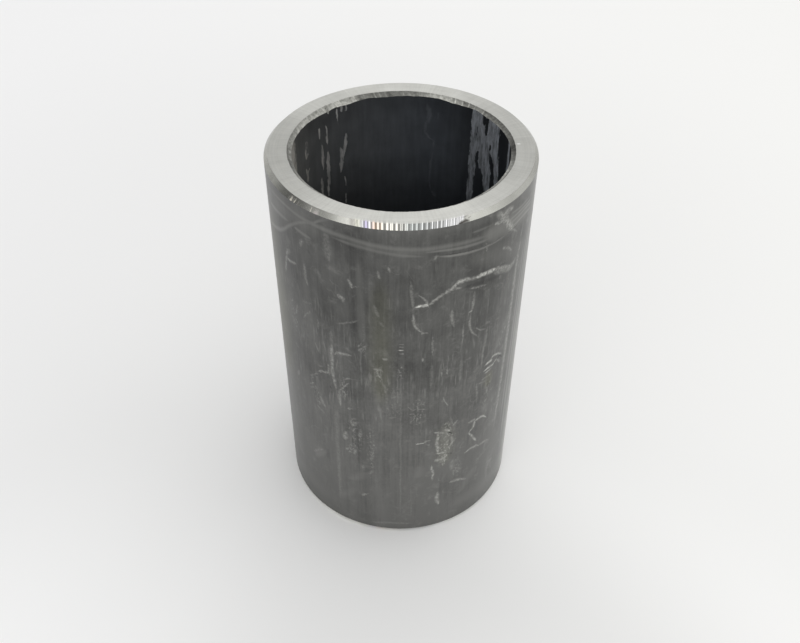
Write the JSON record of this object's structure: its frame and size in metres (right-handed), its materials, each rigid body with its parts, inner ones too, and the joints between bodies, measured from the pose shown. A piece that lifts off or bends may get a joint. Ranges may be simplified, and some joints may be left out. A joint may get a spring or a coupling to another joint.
{
  "type": "bearing bush",
  "caption": "Plain cylindrical steel bearing bush: a straight sleeve with square-faced ends, chamfered outside corners and a lightly countersunk through bore.",
  "frame": {"origin": "centre of the lower end face, on the bore's axis", "axes": "+Z along the bore, up through the upper end face; the bush is a body of revolution, so +X and +Y are free, and -Y is the side that faces the camera in the picture"},
  "size_m": [0.03, 0.03, 0.05],
  "materials": {
    "drawn_steel": "dull dark grey mill skin outside, black inside the bore, bright turned end faces and chamfers, light handling scratches"
  },
  "bodies": {
    "root": {"bush": "drawn_steel"}
  },
  "joints": []
}
